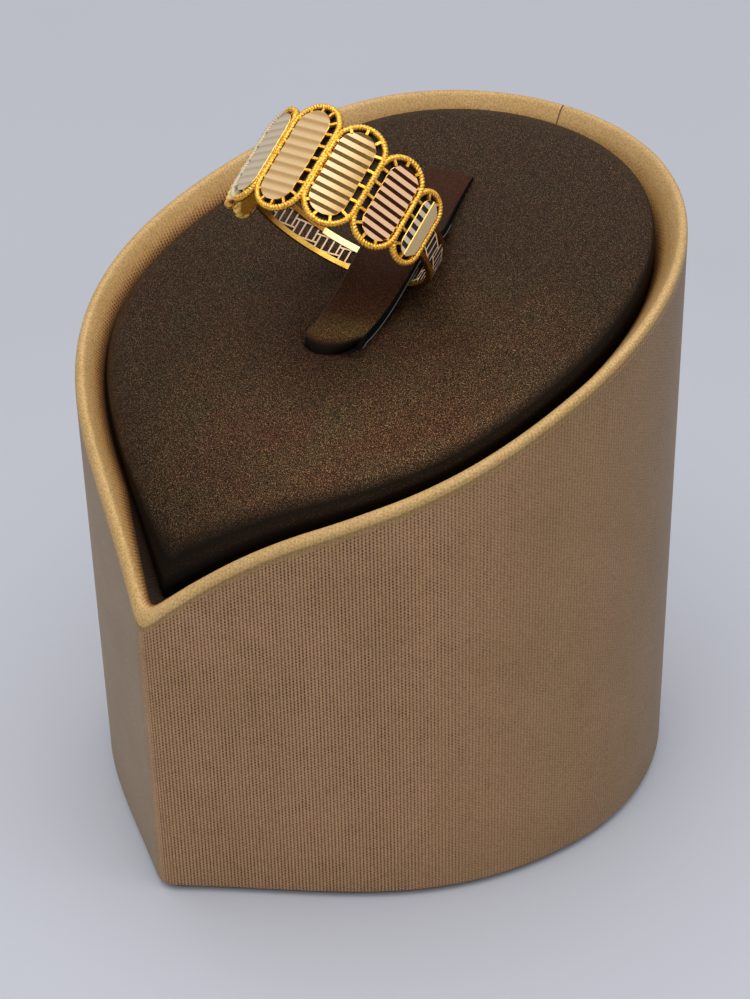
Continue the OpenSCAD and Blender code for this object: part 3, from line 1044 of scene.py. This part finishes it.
def gold_metals():
    """Finishes of the ring: plain and beaded gold, and the cut facets of its plates."""
    def facet(name, light, dark, roughness, metallic=1.0, across=(), along=()):
        shader = Shader(name, Metallic=metallic, Roughness=roughness)
        streaks = shader.noise(0.12, 2.0, 0.5, shader.stretched((0.25, 1.0, 1.0)))
        colour = shader.mix(shader.scaled(streaks, 1.4, -0.2), rgb(*light), rgb(*dark))
        # across and along paint reflection: across changes it over the width of a plate, along through each
        # flute
        u, v = shader.uv()
        if across:
            colour = shader.multiply(colour, shader.ramp(shader.scaled(u, 0.5, 0.5), *across))
        if along:
            colour = shader.multiply(colour, shader.ramp(v, *along))
        shader.set("Base Color", colour)
        shader.bump(streaks, 0.004, 0.4)
        return shader.material

    beaded = Shader("beaded_gold", Metallic=0.85)
    grain = beaded.noise(0.14, 2.0, 0.6)
    body = beaded.ramp(grain, (0.36, rgb(204, 124, 24)), (0.5, rgb(246, 180, 54)),
                       (0.64, rgb(255, 220, 120)))
    # painted shade: the first UV value makes the gold darker low on each bead, on the skirts and at the foot
    # of the bars
    rise, _ = beaded.uv()
    shade = beaded.ramp(beaded.scaled(rise, 0.5, 0.5), (0.15, rgb(110, 60, 24)),
                        (0.5, WHITE))
    beaded.set("Base Color", beaded.multiply(body, shade))
    beaded.set("Roughness", beaded.scaled(grain, 0.3, 0.2))
    beaded.bump(grain, 0.02, 0.5)
    cut = Shader("cut_gold", Metallic=0.15, Roughness=0.3)
    chips = cut.cells(0.62)
    cut.set("Base Color", cut.ramp(chips, (0.2, rgb(255, 226, 124)), (0.44, rgb(255, 202, 84)),
                                   (0.56, rgb(236, 160, 60)), (0.68, rgb(110, 56, 20))))
    cut.bump(chips, 0.08, 0.5)
    return {
        "beaded": beaded.material,
        "gold": facet("polished_gold", (255, 214, 110), (226, 160, 50), 0.22),
        # painted highlight for one stretch of the back edge
        "painted_highlight": facet("glossy_rail", (255, 244, 190), (244, 222, 146), 0.3, 0.75),
        "white": facet("bright_bars", (250, 216, 176), (238, 194, 150), 0.35, 0.2),
        # painted shade: a darker gold for the sides of the front edge and the rest of the back edge
        "shaded_amber": facet("shaded_rail_sides", (214, 150, 66), (120, 66, 20), 0.25),
        # painted reflection: light copies of the gold for the bright facets, dark ones for the steep facets
        "lit_cream": facet("cream_facets", (202, 184, 152), (184, 162, 126), 0.2,
                       across=((0.0, WHITE), (0.35, rgb(246, 238, 224)), (0.8, rgb(208, 188, 156)))),
        "shaded_olive": facet("olive_facets", (126, 98, 54), (92, 68, 34), 0.3),
        "lit_rose": facet("rose_facets", (246, 208, 166), (230, 182, 138), 0.2),
        "shaded_umber": facet("umber_facets", (104, 54, 32), (70, 32, 16), 0.3),
        "soft": facet("champagne_flutes", (226, 196, 150), (216, 184, 136), 0.35,
                      along=((0.0, WHITE), (0.35, rgb(248, 244, 236)), (0.62, rgb(222, 208, 188)),
                             (0.85, rgb(216, 200, 180)), (1.0, rgb(250, 248, 244)))),
        "plain": facet("plain_champagne", (220, 194, 148), (206, 178, 130), 0.4, 0.6),
        # painted glint: pale gold for the far side of the first oval on the left
        "pale": facet("painted_glint_facets", (200, 184, 156), (186, 170, 142), 0.4, 0.2,
                      along=((0.0, WHITE), (0.5, rgb(250, 250, 248)), (0.7, rgb(232, 230, 226)))),
        "silver": facet("silvery_facets", (240, 218, 184), (220, 198, 166), 0.3, 0.4),
        # painted shade, in black: sides of plates and thin bars, stripes of the outermost plate, beds under
        # borders
        "black": facet("painted_shade_black", (30, 11, 8), (16, 6, 4), 0.7, 0.0),
        "sunny": cut.material,
    }


# Surroundings

def floor():
    half = 3000 * MM
    shape = bpy.data.meshes.new("floor")
    shape.from_pydata([(-half, -half, 0), (half, -half, 0), (half, half, 0), (-half, half, 0)], [],
                      [[0, 1, 2, 3]])
    plane = bpy.data.objects.new("floor", shape)
    bpy.context.scene.collection.objects.link(plane)
    shader = Shader("pale_table", Roughness=0.8)
    cloud = shader.noise(60, 2.0)
    # painted light: the floor is painted lighter near the stand, where the stand's shade falls
    near = shader.ramp(shader.math("DIVIDE", shader.distance_from(25, -5, 0), 130.0),
                       (0.35, WHITE), (0.9, rgb(238, 238, 238)))
    pale = shader.mix(cloud, rgb(178, 181, 189), rgb(174, 177, 186))
    shader.set("Base Color", shader.multiply(pale, near))
    shape.materials.append(shader.material)


def area_light(name, place, size, power, colour, target=(0, 0, 40)):
    data = bpy.data.lights.new(name, "AREA")
    data.shape = "RECTANGLE"
    data.size, data.size_y = size[0] * MM, size[1] * MM
    data.energy = power
    data.color = colour
    light = bpy.data.objects.new(name, data)
    light.location = [MM * c for c in place]
    aim = Vector(target) - Vector(place)
    light.rotation_euler = aim.to_track_quat("-Z", "Y").to_euler()
    bpy.context.scene.collection.objects.link(light)


def lights():
    """Soft dome, brighter overhead than near the horizon, with two soft boxes."""
    world = bpy.data.worlds.new("studio")
    bpy.context.scene.world = world
    world.use_nodes = True
    nodes, links = world.node_tree.nodes, world.node_tree.links
    direction = nodes.new("ShaderNodeTexCoord")
    split = nodes.new("ShaderNodeSeparateXYZ")
    links.new(direction.outputs["Generated"], split.inputs[0])
    sky = nodes.new("ShaderNodeValToRGB")
    links.new(split.outputs["Z"], sky.inputs[0])
    # height in the dome, as the share of the way up, and how bright it is there
    stops = ((0.0, 0.25), (0.25, 0.55), (0.5, 0.95), (1.0, 1.0))
    fill_ramp(sky.color_ramp, [(at, (0.97 * level, 0.98 * level, 1.03 * level)) for at, level in stops])
    background = nodes["Background"]
    links.new(sky.outputs[0], background.inputs["Color"])
    background.inputs["Strength"].default_value = 1.0
    area_light("key_box", (80, -80, 700), (800, 760), 3.0, rgb(255, 251, 244), target=(80, -80, 0))
    area_light("front_box", (-40, -600, 420), (420, 300), 0.5, rgb(255, 248, 238))
    bpy.context.scene.view_settings.view_transform = "Standard"


def camera():
    """Placed so that the outlines of the stand and of the ring lie as in the photo."""
    position = Vector((118.32, -147.24, 157.74)) * MM
    right = Vector((0.78922, 0.61382, -0.01887))
    up = Vector((-0.33413, 0.45499, 0.82543))
    back = Vector((0.51525, -0.64514, 0.56418))
    data = bpy.data.cameras.new("camera")
    data.lens = 89.74
    data.sensor_width = 36
    data.clip_start = 0.01
    seen_from = bpy.data.objects.new("camera", data)
    seen_from.matrix_world = Matrix.Translation(position) @ Matrix((right, up, back)).transposed().to_4x4()
    bpy.context.scene.collection.objects.link(seen_from)
    bpy.context.scene.camera = seen_from


# The whole scene

def greys(*stops):
    """Stops of a grey ramp, from a place and a level each."""
    return [(at, (level, level, level)) for at, level in stops]


def wall_cover():
    """Tan cover, with ribs that fade along the right flank; painted shade darkens the right flank and greys
    the left flank.
    """
    total = ALONG[-1]
    painted_shading = ((0, WHITE), (24, WHITE), (34, rgb(236, 236, 230)), (54, rgb(206, 214, 214)),
             (total - 45, rgb(226, 230, 230)), (total - 30, rgb(212, 228, 238)),
             (total - 1, rgb(212, 228, 238)), (total, WHITE))
    clear = greys((0, 1.0), (20, 1.0), (32, 0.5), (46, 0.25), (80, 0.6),
                  (total - 45, 0.6), (total - 25, 0.2), (total, 0.2))
    tan = (rgb(182, 142, 104), rgb(172, 134, 94))
    return ribbed_cover("wall_leatherette", ("round", painted_shading), ("round", clear), tan, rgb(74, 46, 28), 0.42)


def rim_cover():
    """Cover painted lighter than the wall; its stops run from the wall over the crest, with a painted
    highlight, and down the inner side, with painted shade.
    """
    painted_shading = ((0.0, rgb(226, 218, 218)), (0.54, rgb(204, 198, 180)), (0.74, rgb(255, 252, 240)),
             (1.7, rgb(255, 250, 236)), (2.5, rgb(252, 244, 228)), (3.3, rgb(250, 234, 210)),
             (3.9, rgb(236, 212, 182)), (4.5, rgb(186, 156, 128)), (5.3, rgb(60, 46, 36)))
    clear = greys((0, 0.5), (0.9, 0.2), (2.6, 0.06), (3.4, 0.3), (4.2, 0.95), (5.3, 1.0))
    # the base colours too are painted lighter than the wall's
    lit_cloth = (rgb(198, 166, 118), rgb(188, 156, 104))
    return ribbed_cover("rim_leatherette", ("up", painted_shading), ("up", clear), lit_cloth, rgb(84, 62, 50), 0.4)


def pad_cover():
    flecks = ((0.4, rgb(17, 11, 8)), (0.5, rgb(42, 31, 24)), (0.6, rgb(106, 81, 60)),
              (0.68, rgb(196, 160, 120)))
    # painted shade down the rolled edge, black at its foot, with a faint painted sheen part of the way up
    shade = ((0.0, rgb(5, 5, 6)), (0.3, rgb(20, 19, 20)), (0.48, rgb(110, 102, 98)),
             (0.62, rgb(90, 86, 84)), (0.8, rgb(40, 40, 42)), (1.0, rgb(160, 158, 156)), (1.4, WHITE))
    return satin("pad_leatherette", flecks, shade, ring_shadow=True)


def strap_cover():
    flecks = ((0.4, rgb(46, 27, 17)), (0.5, rgb(88, 58, 38)), (0.6, rgb(150, 108, 68)),
              (0.7, rgb(210, 164, 108)))
    # painted shade where the low end rolls down, a painted highlight band above it, then lighter towards the
    # high end
    shade = ((0.0, rgb(20, 20, 24)), (0.3, rgb(40, 42, 46)), (0.75, rgb(216, 240, 220)),
             (1.5, rgb(204, 226, 208)), (2.6, rgb(156, 142, 132)), (5.0, rgb(132, 112, 100)),
             (13.0, rgb(136, 114, 100)), (17.0, rgb(190, 146, 126)))
    return satin("strap_leatherette", flecks, shade)


def main():
    camera()
    lights()
    floor()
    stand_wall(wall_cover(),
               plain_finish("pocket_shade", (26, 20, 16), (18, 14, 12), 0.3, Roughness=0.8))
    rim_trim(rim_cover(),
             plain_finish("rim_seam", (104, 78, 48), (84, 62, 38), Roughness=0.6))
    pad(pad_cover())
    strap(strap_cover(),
          plain_finish("strap_edge", (5, 5, 6), (9, 8, 9), Roughness=0.7, Specular_IOR_Level=0.1),
          plain_finish("strap_lining", (96, 94, 92), (70, 68, 66), Roughness=0.6),
          # painted highlight along the strap's left edge
          plain_finish("strap_highlight", (62, 43, 29), (46, 32, 22), Roughness=0.6,
                       Specular_IOR_Level=0.1))
    foot_pad(plain_finish("black_rubber", (16, 15, 15), (26, 24, 24), 0.4, 0.03, Roughness=0.7))
    ring(gold_metals())


main()
